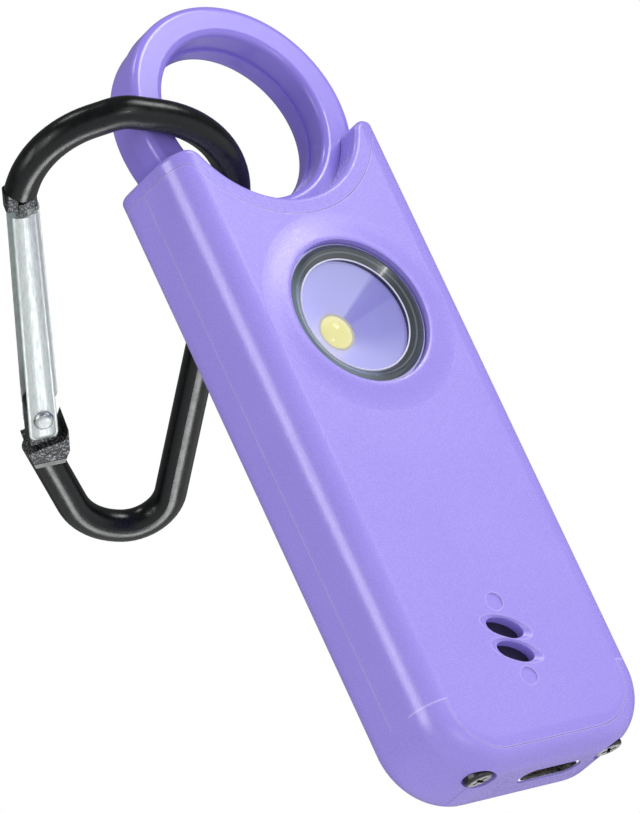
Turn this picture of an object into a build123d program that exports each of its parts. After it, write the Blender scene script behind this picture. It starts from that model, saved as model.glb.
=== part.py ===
from build123d import *
import math
import os

# A pocket safety alarm: pull the ring off its saddle and a siren and a lamp start.
# Origin at the centre of the ring's eye, +Z up along the case, front face towards -Y, millimetres.

# Case
body_width = 32.5
body_thickness = 14.0
body_drop = 87.4
edge_round = 3.5
corner_round = 8.5
wall = 1.6
part_line_y = 0.6
seam_gap = 0.06
fit = 0.15
hair = 0.05
overrun = 20.0

# Ring and the saddle that it rests in
ring_side_margin = 1.0
ring_limb = 4.2
ring_depth = 6.8
ring_rear_step = 0.35
ring_outer_round = 0.95
ring_inner_round = 0.85
ring_rear_round = 2.0
ring_rest_gap = 0.3
lip_under_ring = 2.0
seam_over_ring = 0.2
saddle_seam_drop = 6.4
saddle_seam_round = 1.4
horn_drop = 4.6
horn_round = 2.1
lip_edge_round = 0.6
trough_wall = 1.3

# Plug under the ring and the switch that it presses
plug_width = 5.0
plug_thickness = 2.4
plug_length = 6.8
plug_root = 2.2
plug_head_width = 7.0
plug_head_height = 1.1
plug_tip_round = 0.8
switch_width = 6.4
switch_height = 4.8
switch_depth = 2.7
plunger_width = 2.0
plunger_depth = 0.9
plunger_length = 2.6
plunger_show = 1.7

# Lamp
lens_below_plug = 6.89
lens_hole_radius = 9.5
lens_swell_radius = 13.2
lens_swell_height = 0.35
lens_swell_crown = 0.9
lens_ring_outer_radius = 9.3
lens_ring_inner_radius = 7.55
lens_ring_recess = 0.1
lens_ring_depth = 1.5
lens_ring_slope = 0.75
lens_window_thickness = 0.6
lens_window_recess = 0.8
cone_mouth_radius = 7.2
cone_throat_radius = 2.5
cone_wall = 0.28
cone_flange_radius = 10.4
cone_flange_thickness = 0.5
led_side = 5.0
led_thickness = 0.9
led_dome_radius = 2.15
led_dome_height = 0.9

# Slanted oval sound holes with dished rims, and two blind discs in line with them
sound_hole_length = 5.2
sound_hole_width = 2.47
sound_rim_length = 7.24
sound_rim_width = 2.8
sound_rim_depth = 0.32
sound_hole_slant = 24.8
sound_hole_x = -0.15
sound_hole_rise = 14.78
sound_hole_pitch = 3.1
blind_disc_radius = 1.17
blind_disc_depth = 0.2
blind_disc_upper_rise = 19.66
blind_disc_lower_rise = 9.91
mesh_margin = 0.9
mesh_thickness = 0.2

# Siren
siren_rise = 21.9
chamber_side_margin = 3.95
chamber_wall = 0.8
chamber_depth = 3.25
siren_disc_thickness = 0.25
siren_ceramic_margin = 4.3
siren_lead_radius = 0.25

# Bottom cap, its screws and the charging port
side_seam_rise = 9.5
front_seam_rise = 2.1
tongue_side_margin = 2.95
tongue_round = 6.3
screw_side_margin = 6.2
screw_y = -2.64
screw_head_radius = 1.8
screw_head_height = 0.9
screw_head_seat_rise = 1.1
screw_recess_radius = 0.95
screw_recess_depth = 0.5
screw_recess_slot = 0.42
screw_radius = 1.0
screw_length = 7.5
screw_pocket_gap = 0.25
boss_radius = 2.0
boss_top_rise = 10.4
tab_side_margin = 5.75
tab_front_y = -1.3
tab_notch_left_x = -5.0
tab_notch_rear_y = 2.0
port_x = 2.0
port_y = -0.6
port_width = 9.2
port_height = 3.4
socket_width = 8.94
socket_height = 3.16
socket_wall = 0.3
socket_length = 7.3
socket_inset = 0.15
tongue_plate_width = 6.7
tongue_plate_thickness = 0.7
tongue_plate_inset = 0.6
tongue_base_length = 1.0

# Circuit board and what it carries
board_front_y = -0.9
board_thickness = 1.0
board_side_margin = 3.65
board_below_plug = 1.1
board_shoulder_rise = 10.9
board_bottom_rise = 2.2
board_tail_left_x = -7.0
board_tail_right_x = 7.4
post_radius = 1.2
post_side_margin = 4.85
post_upper_drop = 37.5
post_over_siren = 3.2
chip_long = 5.0
chip_short = 4.0
chip_height = 1.3
chip_x = 5.2
chip_drop = 45.5
coil_radius = 3.5
coil_core_radius = 2.5
coil_height = 3.8
coil_flange = 0.7
coil_x = -5.0
coil_rise = 17.9
battery_side_margin = 6.25
battery_bottom_rise = 25.4
battery_thickness = 4.4
battery_round = 1.2
battery_top_drop = 34.0
battery_pad_thickness = 0.5
battery_pad_inset = 1.5
lead_radius = 0.4
lead_bend = 1.2
lead_drop = 3.0
lead_x = 4.0
lead_pitch = 2.4

# Carabiner: a round-wire loop in one plane, hung in the ring's eye
clip_out = 10.6
clip_forward = 5.5
clip_over = 10.65
clip_left_share = 0.545
clip_rise_share = 0.835
clip_across_share = (0.9189, -0.3110, -0.2426)
clip_normal_share = (-0.3481, -0.3500, -0.8697)
clip_width = 25.5
clip_length = 65.8
clip_wire_radius = 2.0
clip_corner_shares = [
    (-0.523, -0.164), (-0.478, -0.046), (-0.084, 0.007), (0.540, -0.051),
    (0.437, -1.001), (0.034, -0.974), (-0.264, -0.762),
]
clip_bend_shares = [0.2708, 0.1382, 0.3499, 0.1276, 0.2086]
rivet_across_share = -0.27843
rivet_along_share = -0.68024
gate_skew = 0.19
gate_end_margin = 2.24
gate_top_width = 4.4
gate_bottom_width = 5.1
gate_thickness = 4.4
gate_wall = 0.45
gate_tail = 4.2
gate_web_start = 2.9
gate_inner_round = 2.0
gate_end_round = 1.3
gate_end_gap = 0.3
rivet_radius = 0.8
rivet_head_radius = 1.27
rivet_head_height = 0.55
rivet_clearance = 0.05
stub_rise = 2.0
stub_width = 3.4
collar_outline_shares = [
    (-0.42, -0.10), (-0.38, -0.28), (-0.28, -0.60), (0.42, -0.60), (0.56, -0.25), (0.57, 0.38), (0.47, 0.10),
]
collar_size = 5.2
collar_thickness = 4.5
neck_width = 3.9
neck_height = 2.5
neck_thickness = 2.2
nose_tongue_width = 0.9
nose_tongue_length = 3.8
spring_width = 1.6
spring_thickness = 0.25
spring_length = 9.0
spring_start = 3.4

half_width = body_width / 2
half_thick = body_thickness / 2
ring_outer_radius = half_width - ring_side_margin
ring_bore_radius = ring_outer_radius - ring_limb
saddle_lip_radius = ring_outer_radius - lip_under_ring
saddle_seam_radius = ring_outer_radius + seam_over_ring
plug_drop = ring_outer_radius + plug_length
side_seam_drop = body_drop - side_seam_rise
front_seam_drop = body_drop - front_seam_rise
screw_head_seat_drop = body_drop - screw_head_seat_rise
boss_top_drop = body_drop - boss_top_rise
board_shoulder_drop = body_drop - board_shoulder_rise
board_bottom_drop = body_drop - board_bottom_rise
siren_drop = body_drop - siren_rise
sound_hole_drop = body_drop - sound_hole_rise
blind_disc_upper_drop = body_drop - blind_disc_upper_rise
blind_disc_lower_drop = body_drop - blind_disc_lower_rise
coil_drop = body_drop - coil_rise
battery_length = body_drop - battery_top_drop - battery_bottom_rise
lens_drop = plug_drop + lens_below_plug
board_top_drop = plug_drop + board_below_plug
chamber_radius = half_width - chamber_side_margin
siren_ceramic_radius = chamber_radius - siren_ceramic_margin
post_lower_drop = siren_drop - chamber_radius - post_over_siren
tongue_half_width = half_width - tongue_side_margin
tab_half_width = half_width - tab_side_margin
screw_x = half_width - screw_side_margin
board_half_width = half_width - board_side_margin
post_x = half_width - post_side_margin
battery_width = body_width - 2 * battery_side_margin
clip_left = clip_out + ring_bore_radius * clip_left_share
clip_rise = clip_over - ring_bore_radius * clip_rise_share
rivet_across = rivet_across_share * clip_width
rivet_along = rivet_along_share * clip_length
gate_reach_x = clip_corner_shares[0][0] * clip_width - rivet_across
gate_reach_y = clip_corner_shares[0][1] * clip_length - rivet_along
gate_lean = math.degrees(math.atan2(-gate_reach_x, gate_reach_y)) + gate_skew
gate_length = math.hypot(gate_reach_x, gate_reach_y) - gate_end_margin
half_ring = ring_depth / 2
inner_y = half_thick - wall
slot_radius = ring_outer_radius + ring_rest_gap
slot_half = half_ring + fit
board_rear_y = board_front_y + board_thickness


def slab(sketch, y_low, y_high):
    """Extrude a sketch drawn as (x, z) between two depths."""
    return extrude(Plane.XZ.offset(-y_high) * sketch, amount=y_high - y_low)


def block(x_low, x_high, y_low, y_high, z_low, z_high):
    """A box between six faces."""
    place = Pos((x_low + x_high) / 2, (y_low + y_high) / 2, (z_low + z_high) / 2)
    return place * Box(x_high - x_low, y_high - y_low, z_high - z_low)


def turned(points, drop=0.0, rounds=()):
    """Revolve a (radius, depth) outline about the front-to-back axis; rounds are (corner, radius)."""
    section = make_face(Polyline(*points, close=True))
    for corner, radius in rounds:
        near = section.vertices().sort_by_distance(Vector(*corner, 0))[0]
        section = fillet(near, radius)
    return Pos(0, 0, -drop) * revolve(section, Axis.Y)


def disc(radius, y_low, y_high, drop=0.0, x=0.0):
    """A plain cylinder along the front-to-back axis."""
    return slab(Pos(x, -drop) * Circle(radius), y_low, y_high)


def plate(inset):
    """The whole case as one soft-edged plate, shrunk by an even inset."""
    low = -(body_drop - inset)
    high = ring_outer_radius
    outline = Pos(0, (low + high) / 2) * Rectangle(body_width - 2 * inset, high - low)
    outline = fillet(outline.vertices().sort_by(Axis.Y)[:2], corner_round - inset)
    solid = slab(outline, -(half_thick - inset), half_thick - inset)
    rims = [edge for edge in solid.edges()
            if abs(edge.center().Y) > half_thick - inset - hair and edge.center().Z < high - hair]
    return fillet(rims, edge_round - inset)


def above_seam(gap):
    """Sketch of everything over the line where the top cap meets the covers."""
    low = -(saddle_seam_drop + gap)
    upper = Pos(0, low + overrun) * Rectangle(body_width + overrun, 2 * overrun)
    region = upper + Circle(saddle_seam_radius + gap)
    corners = [v for v in region.vertices() if abs(v.Y - low) < hair and abs(v.X) < half_width]
    return fillet(corners, saddle_seam_round)


def saddle_opening():
    """Sketch of the space over the saddle's lips, flared out to the horns."""
    upper = Pos(0, overrun - horn_drop) * Rectangle(body_width + overrun, 2 * overrun)
    region = upper + Circle(saddle_lip_radius)
    corners = [v for v in region.vertices() if abs(v.Y + horn_drop) < hair and abs(v.X) < half_width]
    return fillet(corners, horn_round)


def tongue(gap):
    """Sketch of the covers' faces where they reach down inside the bottom cap."""
    half = tongue_half_width + gap
    low = -(front_seam_drop + gap)
    outline = Pos(0, low / 2) * Rectangle(2 * half, -low)
    return fillet(outline.vertices().sort_by(Axis.Y)[:2], tongue_round + gap)


def bottom_tab(gap):
    """The rear shell's foot: it wraps under the case and leaves a bay round the port."""
    low = -(body_drop + overrun)
    high = -(body_drop - wall - edge_round)
    foot = block(-tab_half_width - gap, tab_half_width + gap, tab_front_y - gap, half_thick, low, high)
    bay = block(tab_notch_left_x + gap, body_width, tab_front_y - overrun, tab_notch_rear_y - gap, low, high)
    return foot - bay


def below_side_seam(gap):
    """Everything lower than the line where the covers end at the sides."""
    return block(-body_width, body_width, -body_width, body_width, -body_drop - overrun, -side_seam_drop - gap)


def sound_oval(side, length, width):
    """Sketch of one slanted oval, the upper or the lower of the two."""
    place = Pos(sound_hole_x, side * sound_hole_pitch / 2 - sound_hole_drop) * Rot(0, 0, -sound_hole_slant)
    return place * Ellipse(length / 2, width / 2)


def make_sound_holes():
    """Through ovals, each with a dished rim, and the blind discs above and below."""
    front = -half_thick
    cuts = Part()
    for side in (-1, 1):
        opening = sound_oval(side, sound_hole_length, sound_hole_width)
        mouth = Plane.XZ.offset(half_thick) * sound_oval(side, sound_rim_length, sound_rim_width)
        cuts += slab(opening, front, -inner_y + wall)
        cuts += loft([mouth, Plane.XZ.offset(half_thick - sound_rim_depth) * opening])
    for drop in (blind_disc_upper_drop, blind_disc_lower_drop):
        cuts += disc(blind_disc_radius, front - hair, front + blind_disc_depth, drop, sound_hole_x)
    return cuts


def screw_boss(side):
    """A screw post inside the front cover, tied to its face by a rib."""
    low = -(front_seam_drop - wall - fit)
    high = -boss_top_drop
    post = Pos(side * screw_x, screw_y, (low + high) / 2) * Cylinder(boss_radius, high - low)
    rib = block(side * screw_x - boss_radius / 2, side * screw_x + boss_radius / 2,
                -inner_y - hair, screw_y, low, high)
    hole = Pos(side * screw_x, screw_y, (low + high) / 2) * Cylinder(screw_radius + hair, high - low)
    return post + rib - hole


def make_swell():
    """A soft raised rim on the front cover, round the lamp."""
    face = -half_thick
    crown = face - lens_swell_height
    inner = lens_hole_radius - hair
    profile = Polyline((inner, face + hair), (lens_swell_radius, face + hair), (lens_swell_radius, face))
    slope = Spline((lens_swell_radius, face), (inner + lens_swell_crown, crown), (inner, crown + hair),
                   tangents=((-1, 0), (-1, 1)))
    section = make_face(Curve() + [profile, slope, Line((inner, crown + hair), (inner, face + hair))])
    return Pos(0, 0, -lens_drop) * revolve(section, Axis.Y)


def make_covers(shell):
    """Front cover and rear shell, cut from the hollow case at the seams."""
    seam = seam_gap / 2
    cap_space = slab(above_seam(seam), -body_width, body_width)
    bottom_space = below_side_seam(seam)
    tongue_reach = slab(tongue(-seam), -body_width, body_width)
    front_face = block(-body_width, body_width, -body_width, -inner_y, -body_drop, 0)
    rear_face = block(-body_width, body_width, inner_y, body_width, -body_drop, 0)
    upper = shell - cap_space - bottom_space
    lower = (shell & bottom_space) & tongue_reach
    front_half = block(-body_width, body_width, -body_width, part_line_y - seam, -body_drop, overrun)
    rear_half = block(-body_width, body_width, part_line_y + seam, body_width, -body_drop, overrun)
    front = (upper & front_half) + (lower & front_face)
    front += make_swell()
    front -= disc(lens_hole_radius, -body_width, 0, lens_drop)
    front -= make_sound_holes()
    for side in (-1, 1):
        front += screw_boss(side)
        for drop in (post_upper_drop, post_lower_drop):
            front += disc(post_radius, -inner_y - hair, board_front_y, drop, side * post_x)
    front -= port_slot(socket_width + 2 * fit, socket_height + 2 * fit, -body_drop,
                       -(body_drop - socket_inset - socket_length) + fit)
    rear = (upper & rear_half) + (lower & rear_face)
    rear += shell & bottom_tab(-seam)
    for side in (-1, 1):
        rear -= screw_pocket(side)
    return {"front_cover": front, "rear_shell": rear}


def screw_pocket(side):
    """The spot face that a bottom screw's head sits in, and its through hole."""
    seat = -screw_head_seat_drop
    pocket = Pos(0, 0, seat - overrun / 2) * Cylinder(screw_head_radius + screw_pocket_gap, overrun)
    hole = Pos(0, 0, seat) * Cylinder(screw_radius + fit, overrun / 2)
    return Pos(side * screw_x, screw_y, 0) * Rot(0, 0, 90 - side * 90) * (pocket + hole)


def port_slot(width, height, z_low, z_high):
    """A vertical slot-shaped bar at the charging port."""
    sketch = Plane.XY.offset(z_low) * Pos(port_x, port_y) * SlotOverall(width, height)
    return extrude(sketch, amount=z_high - z_low)


def make_bottom_cap(shell):
    """U-shaped end cap with the screw pockets and the port opening."""
    seam = seam_gap / 2
    reach = slab(tongue(seam), -body_width, body_width)
    front_face = block(-body_width, body_width, -body_width, -inner_y + fit, -body_drop, 0)
    rear_face = block(-body_width, body_width, inner_y - fit, body_width, -body_drop, 0)
    cap = shell & below_side_seam(-seam + seam_gap)
    cap -= reach & front_face
    cap -= reach & rear_face
    cap -= bottom_tab(seam)
    pad_high = -(screw_head_seat_drop - wall)
    pad_room = plate(hair) & block(-body_width, body_width, -inner_y + fit, tab_front_y - seam,
                                   -body_drop, pad_high)
    for side in (-1, 1):
        pad = Pos(side * screw_x, screw_y, -(body_drop + screw_head_seat_drop - wall) / 2) * Cylinder(
            screw_head_radius + screw_pocket_gap + wall / 2, body_drop - screw_head_seat_drop + wall)
        pocket = screw_pocket(side)
        cap = (cap - pocket) + ((pad & pad_room) - pocket)
    cap -= port_slot(port_width, port_height, -body_drop - overrun, -body_drop + overrun / 2)
    return cap


def make_screws():
    """Two pan-head screws with a cross recess."""
    screws = []
    for side in (-1, 1):
        seat = -screw_head_seat_drop
        head = Pos(0, 0, seat - screw_head_height / 2) * Cylinder(screw_head_radius, screw_head_height)
        head = fillet(head.edges().sort_by(Axis.Z)[0], screw_head_height / 2)
        shaft = Pos(0, 0, seat + screw_length / 2) * Cylinder(screw_radius, screw_length)
        cross_z = seat - screw_head_height + screw_recess_depth / 2
        cross = Pos(0, 0, cross_z) * Box(2 * screw_recess_radius, screw_recess_slot, screw_recess_depth)
        cross += Pos(0, 0, cross_z) * Box(screw_recess_slot, 2 * screw_recess_radius, screw_recess_depth)
        turn = Rot(0, 0, 45 + side * 12)
        screws.append(Pos(side * screw_x, screw_y, 0) * turn * (head + shaft - cross))
    return Compound(children=screws)


def make_top_cap():
    """The saddle: a full-depth band with two lips, a trough for the ring and a hole for the plug."""
    body = plate(0) & slab(above_seam(-seam_gap / 2), -body_width, body_width)
    trough = disc(slot_radius + trough_wall, -slot_half - trough_wall, slot_half + trough_wall)
    body += trough & plate(wall + fit)
    body -= slab(saddle_opening(), -body_width, body_width)
    body -= disc(slot_radius, -slot_half, slot_half)
    hole_width = plug_width / 2 + fit
    hole_depth = plug_thickness / 2 + fit
    body -= block(-hole_width, hole_width, -hole_depth, hole_depth, -slot_radius - overrun, 0)
    lips = [edge for edge in body.edges()
            if abs(abs(edge.center().Y) - half_thick) < hair
            and edge.geom_type == GeomType.CIRCLE
            and abs(edge.radius - saddle_lip_radius) < hair]
    return fillet(lips, lip_edge_round)


def make_ring():
    """Front and rear halves of the pull ring and the plug held between them."""
    split = seam_gap / 4
    bore = ring_bore_radius
    outer = ring_outer_radius
    front = turned([(bore, -half_ring), (outer, -half_ring), (outer, -split), (bore, -split)],
                   rounds=(((outer, -half_ring), ring_outer_round), ((bore, -half_ring), ring_inner_round)))
    rear_bore = bore - ring_rear_step
    rear_outer = outer - ring_rear_step
    rear = turned([(rear_bore, split), (rear_outer, split), (rear_outer, half_ring), (rear_bore, half_ring)],
                  rounds=(((rear_outer, half_ring), ring_outer_round),
                          ((rear_bore, half_ring), ring_rear_round)))
    top = -(outer - plug_root)
    tip = -plug_drop
    stem = block(-plug_width / 2, plug_width / 2, -plug_thickness / 2, plug_thickness / 2, tip, top)
    corners = [edge for edge in stem.edges().filter_by(Axis.Y) if edge.center().Z < tip + hair]
    stem = fillet(corners, plug_tip_round)
    head = block(-plug_head_width / 2, plug_head_width / 2, -plug_thickness / 2, plug_thickness / 2,
                 top, top + plug_head_height)
    room = plug_thickness / 2 + hair
    pocket = block(-plug_width / 2 - hair, plug_width / 2 + hair, -room, room, tip, top + hair)
    pocket += block(-plug_head_width / 2 - hair, plug_head_width / 2 + hair, -room, room,
                    top - hair, top + plug_head_height + hair)
    return {"ring_front_half": front - pocket, "ring_rear_half": rear - pocket, "trigger_plug": stem + head}


def make_switch():
    """The switch under the plug: a body with a slot, and the plunger that rises in it."""
    top = -plug_drop - ring_rest_gap
    rear = board_rear_y
    low = top - plunger_show - switch_height
    body = block(-switch_width / 2, switch_width / 2, rear, rear + switch_depth, low, top - plunger_show)
    slot_low = top - plunger_length - ring_rest_gap
    front_y = rear + fit
    slot = block(-plunger_width / 2 - hair, plunger_width / 2 + hair, front_y,
                 front_y + plunger_depth + 2 * hair, slot_low, top)
    plunger = block(-plunger_width / 2, plunger_width / 2, front_y + hair, front_y + hair + plunger_depth,
                    top - plunger_length, top)
    return {"trigger_switch": body - slot, "switch_plunger": plunger}


def make_lamp():
    """Clear ring and window, funnel reflector and the lamp chip with its dome."""
    front = -half_thick
    ring_front = front + lens_ring_recess
    ring_rear = ring_front + lens_ring_depth
    outer = lens_ring_outer_radius
    inner = lens_ring_inner_radius
    lens_ring = turned([(inner, ring_front + lens_ring_slope), (outer - lens_ring_slope, ring_front),
                        (outer, ring_front + lens_ring_slope / 2), (outer, ring_rear), (inner, ring_rear)],
                       lens_drop)
    window_front = ring_front + lens_window_recess
    window_rear = window_front + lens_window_thickness
    window = disc(inner - hair, window_front, window_rear, lens_drop)
    rim = window_rear + hair
    throat = board_front_y - led_thickness - hair
    mouth = cone_mouth_radius
    narrow = cone_throat_radius
    flange_front = -inner_y + hair
    flange_rear = flange_front + cone_flange_thickness
    cone = turned([(mouth, rim), (mouth + cone_wall, rim), (mouth + cone_wall, flange_front),
                   (cone_flange_radius, flange_front), (cone_flange_radius, flange_rear),
                   (mouth + cone_wall, flange_rear), (narrow + cone_wall, throat), (narrow, throat)],
                  lens_drop)
    half = led_side / 2
    package = block(-half, half, board_front_y - led_thickness, board_front_y,
                    -lens_drop - half, -lens_drop + half)
    sphere_radius = (led_dome_radius ** 2 + led_dome_height ** 2) / (2 * led_dome_height)
    centre_y = board_front_y - led_thickness - led_dome_height + sphere_radius
    dome = Pos(0, centre_y, -lens_drop) * Sphere(sphere_radius)
    dome &= disc(sphere_radius, board_front_y - led_thickness - led_dome_height,
                 board_front_y - led_thickness, lens_drop)
    return {"lens_ring": lens_ring, "lens_window": window, "reflector_cone": cone,
            "led_package": package, "led_dome": dome}


def make_board():
    """The circuit board: wide behind the siren, a narrow tail between the screw posts."""
    rear = board_rear_y
    board = block(-board_half_width, board_half_width, board_front_y, rear, -board_shoulder_drop, -board_top_drop)
    board += block(board_tail_left_x, board_tail_right_x, board_front_y, rear,
                   -board_bottom_drop, -board_shoulder_drop)
    half = socket_width / 2 + fit
    bay_top = -(body_drop - socket_inset - socket_length) + fit
    board -= block(port_x - half, port_x + half, board_front_y, rear, -body_drop, bay_top)
    return board


def make_board_parts():
    """Control chips on the board's face, the step-up coil behind it and the charging socket."""
    chips = []
    for x, drop, long in ((-chip_x, chip_drop, chip_long), (chip_x, chip_drop, chip_short),
                          (0, chip_drop - chip_short, chip_short)):
        chips.append(block(x - long / 2, x + long / 2, board_front_y - chip_height, board_front_y,
                           -drop - chip_short / 2, -drop + chip_short / 2))
    rear = board_rear_y
    coil = disc(coil_radius, rear, rear + coil_flange, coil_drop, coil_x)
    coil += disc(coil_core_radius, rear, rear + coil_height, coil_drop, coil_x)
    coil += disc(coil_radius, rear + coil_height - coil_flange, rear + coil_height, coil_drop, coil_x)
    mouth = -(body_drop - socket_inset)
    top = mouth + socket_length
    inner_width = socket_width - 2 * socket_wall
    inner_height = socket_height - 2 * socket_wall
    socket = port_slot(socket_width, socket_height, mouth, top)
    socket -= port_slot(inner_width, inner_height, mouth, top)
    tongue_low = mouth + tongue_plate_inset
    tongue_plate = block(port_x - tongue_plate_width / 2, port_x + tongue_plate_width / 2,
                         port_y - tongue_plate_thickness / 2, port_y + tongue_plate_thickness / 2,
                         tongue_low, top - tongue_base_length)
    tongue_plate += port_slot(inner_width - 2 * hair, inner_height - 2 * hair, top - tongue_base_length, top)
    return {"control_chips": Compound(children=chips), "boost_coil": coil,
            "usb_socket": socket, "usb_tongue": tongue_plate}


def make_battery():
    """Pouch cell on its foam pad behind the board, with its two leads."""
    rear = board_rear_y
    top = -battery_top_drop
    bottom = top - battery_length
    half = battery_width / 2
    inset = battery_pad_inset
    pad = block(-half + inset, half - inset, rear, rear + battery_pad_thickness, bottom + inset, top - inset)
    front_y = rear + battery_pad_thickness
    cell = block(-half, half, front_y, front_y + battery_thickness, bottom, top)
    cell = fillet(cell.edges().filter_by(Axis.Z), battery_round)
    leads = []
    lead_y = front_y + battery_thickness / 2
    for step in (0, 1):
        x = lead_x + step * lead_pitch
        path = FilletPolyline((x, lead_y, bottom), (x, lead_y, bottom - lead_drop),
                              (x, rear, bottom - lead_drop), radius=lead_bend)
        leads.append(sweep(Plane(path @ 0, z_dir=path % 0) * Circle(lead_radius), path))
    return {"battery_cell": cell, "battery_pad": pad, "battery_leads": Compound(children=leads)}


def make_siren():
    """Sound chamber, brass disc with its ceramic, two leads and the dust mesh behind the holes."""
    rear = -inner_y + chamber_depth
    chamber = disc(chamber_radius, -inner_y, rear, siren_drop)
    chamber -= disc(chamber_radius - chamber_wall, -inner_y, rear, siren_drop)
    disc_radius = chamber_radius - chamber_wall - fit
    brass_rear = rear - siren_disc_thickness
    brass = disc(disc_radius, brass_rear - siren_disc_thickness, brass_rear, siren_drop)
    ceramic = disc(siren_ceramic_radius, brass_rear, rear, siren_drop)
    leads = [disc(siren_lead_radius, rear, board_front_y, siren_drop - siren_ceramic_radius / 2),
             disc(siren_lead_radius, brass_rear, board_front_y, siren_drop, disc_radius - chamber_wall)]
    half = sound_rim_length / 2 + mesh_margin
    rise = (sound_hole_pitch + sound_rim_width) / 2 + mesh_margin
    mesh = block(-half, half, -inner_y, -inner_y + mesh_thickness,
                 -sound_hole_drop - rise, -sound_hole_drop + rise)
    mesh &= disc(chamber_radius - chamber_wall - fit, -inner_y, 0, siren_drop)
    return {"siren_chamber": chamber, "siren_disc": brass, "siren_ceramic": ceramic,
            "siren_leads": Compound(children=leads), "dust_mesh": mesh}


def clip_plane():
    """The plane of the carabiner's loop, its x across the loop and its y up along the spine."""
    return Plane(origin=(-clip_left, -clip_forward, clip_rise), x_dir=clip_across_share,
                 z_dir=clip_normal_share)


def gate_place():
    """The gate's own frame: at the rivet, y along the gate towards the nose."""
    return clip_plane().location * Pos(rivet_across, rivet_along, 0) * Rot(0, 0, gate_lean)


def make_clip_frame():
    """The bent wire with its nose, collar and the flat stub that carries the rivet."""
    points = [(x * clip_width, y * clip_length) for x, y in clip_corner_shares]
    radii = [share * math.sqrt(clip_width * clip_length) for share in clip_bend_shares]
    path = clip_plane() * FilletPolyline(*points, radius=radii)
    wire = sweep(Plane(path @ 0, z_dir=path % 0) * Circle(clip_wire_radius), path)
    gap = gate_end_gap
    collar_top = -gate_tail - gap
    corners = [(x * collar_size, collar_top + y * collar_size) for x, y in collar_outline_shares]
    collar = extrude(make_face(Polyline(*corners, close=True)), amount=collar_thickness / 2, both=True)
    slim = gate_thickness - 2 * gate_wall - 2 * fit
    stub = Pos(0, (collar_top + stub_rise) / 2, 0) * Box(stub_width, stub_rise - collar_top, slim)
    stub = fillet(stub.edges().filter_by(Axis.Z).sort_by(Axis.Y)[-2:], stub_width / 2 - fit)
    stub -= Cylinder(rivet_radius + rivet_clearance, gate_thickness)
    gate_top = gate_length + gap
    neck = Pos(0, gate_top + neck_height / 2, 0) * Box(neck_width, neck_height, neck_thickness)
    neck = fillet(neck.edges().filter_by(Axis.Y), neck_thickness / 4)
    tongue_bar = Pos(0, gate_top - nose_tongue_length / 2 + neck_height / 2, 0) * Box(
        nose_tongue_width, nose_tongue_length, slim)
    return wire + gate_place() * (collar + stub + neck + tongue_bar)


def make_gate():
    """Folded sheet gate, open on its outer side, with its rivet and leaf spring."""
    top = gate_length
    outline = Polyline((-gate_top_width / 2, top), (gate_top_width / 2, top),
                       (gate_bottom_width / 2, -gate_tail), (-gate_bottom_width / 2, -gate_tail), close=True)
    face = make_face(outline)
    face = fillet(face.vertices().sort_by(Axis.Y)[:2], gate_end_round)
    solid = extrude(face, amount=gate_thickness / 2, both=True)
    flanks = [edge for edge in solid.edges()
              if abs(abs(edge.center().Z) - gate_thickness / 2) < hair and edge.length > gate_length / 2]
    inner_edges = [edge for edge in flanks if edge.center().X > 0]
    solid = fillet(inner_edges, gate_inner_round)
    hollow_half = gate_thickness / 2 - gate_wall
    hollow = make_face(Polyline(
        (-gate_bottom_width, top + gate_wall), (gate_top_width / 2 - gate_wall, top + gate_wall),
        (gate_bottom_width / 2 - gate_wall, -gate_tail - gate_wall),
        (-gate_bottom_width, -gate_tail - gate_wall), close=True))
    hollow = extrude(hollow, amount=hollow_half, both=True)
    hollow_edges = [edge for edge in hollow.edges()
                    if edge.length > gate_length and edge.center().X > 0]
    solid -= fillet(hollow_edges, gate_inner_round - gate_wall)
    below = Pos(gate_bottom_width / 2, (gate_web_start - gate_tail - gate_end_round) / 2, 0) * Box(
        gate_bottom_width, gate_web_start + gate_tail + gate_end_round, 2 * hollow_half)
    solid -= below
    solid -= Cylinder(rivet_radius + hair, 2 * gate_thickness)
    rivet = Cylinder(rivet_radius, gate_thickness + 2 * hair)
    for side in (-1, 1):
        head = Pos(0, 0, side * (gate_thickness / 2 + hair + rivet_head_height / 2)) * Cylinder(
            rivet_head_radius, rivet_head_height)
        far = head.edges().sort_by(Axis.Z)[-1 if side > 0 else 0]
        rivet += fillet(far, rivet_head_height * 0.9)
    web_x = gate_bottom_width / 2 - gate_wall - (gate_bottom_width - gate_top_width) / 2 * (
        (spring_start + spring_length + gate_tail) / (gate_length + gate_tail))
    spring = Pos(web_x - fit - spring_thickness / 2, spring_start + spring_length / 2, 0) * Box(
        spring_thickness, spring_length, spring_width)
    place = gate_place()
    return {"carabiner_gate": place * solid, "gate_rivet": place * rivet, "gate_spring": place * spring}


def build():
    """All nodes of the alarm by name."""
    shell = plate(0) - plate(wall)
    nodes = {}
    nodes.update(make_covers(shell))
    nodes["top_cap"] = make_top_cap()
    nodes["bottom_cap"] = make_bottom_cap(shell)
    nodes["bottom_screws"] = make_screws()
    nodes.update(make_ring())
    nodes.update(make_switch())
    nodes.update(make_lamp())
    nodes["circuit_board"] = make_board()
    nodes.update(make_board_parts())
    nodes.update(make_battery())
    nodes.update(make_siren())
    nodes["carabiner_frame"] = make_clip_frame()
    nodes.update(make_gate())
    return nodes


os.makedirs("parts", exist_ok=True)
for name, solid in build().items():
    export_step(solid, f"parts/{name}.step")
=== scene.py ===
"""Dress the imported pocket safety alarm: finishes, fine trim, studio light and the camera."""
from __future__ import annotations

import logging
import math
from dataclasses import dataclass, field
from enum import Enum
from typing import Any, Iterable

import bpy
from mathutils import Matrix, Vector


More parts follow.
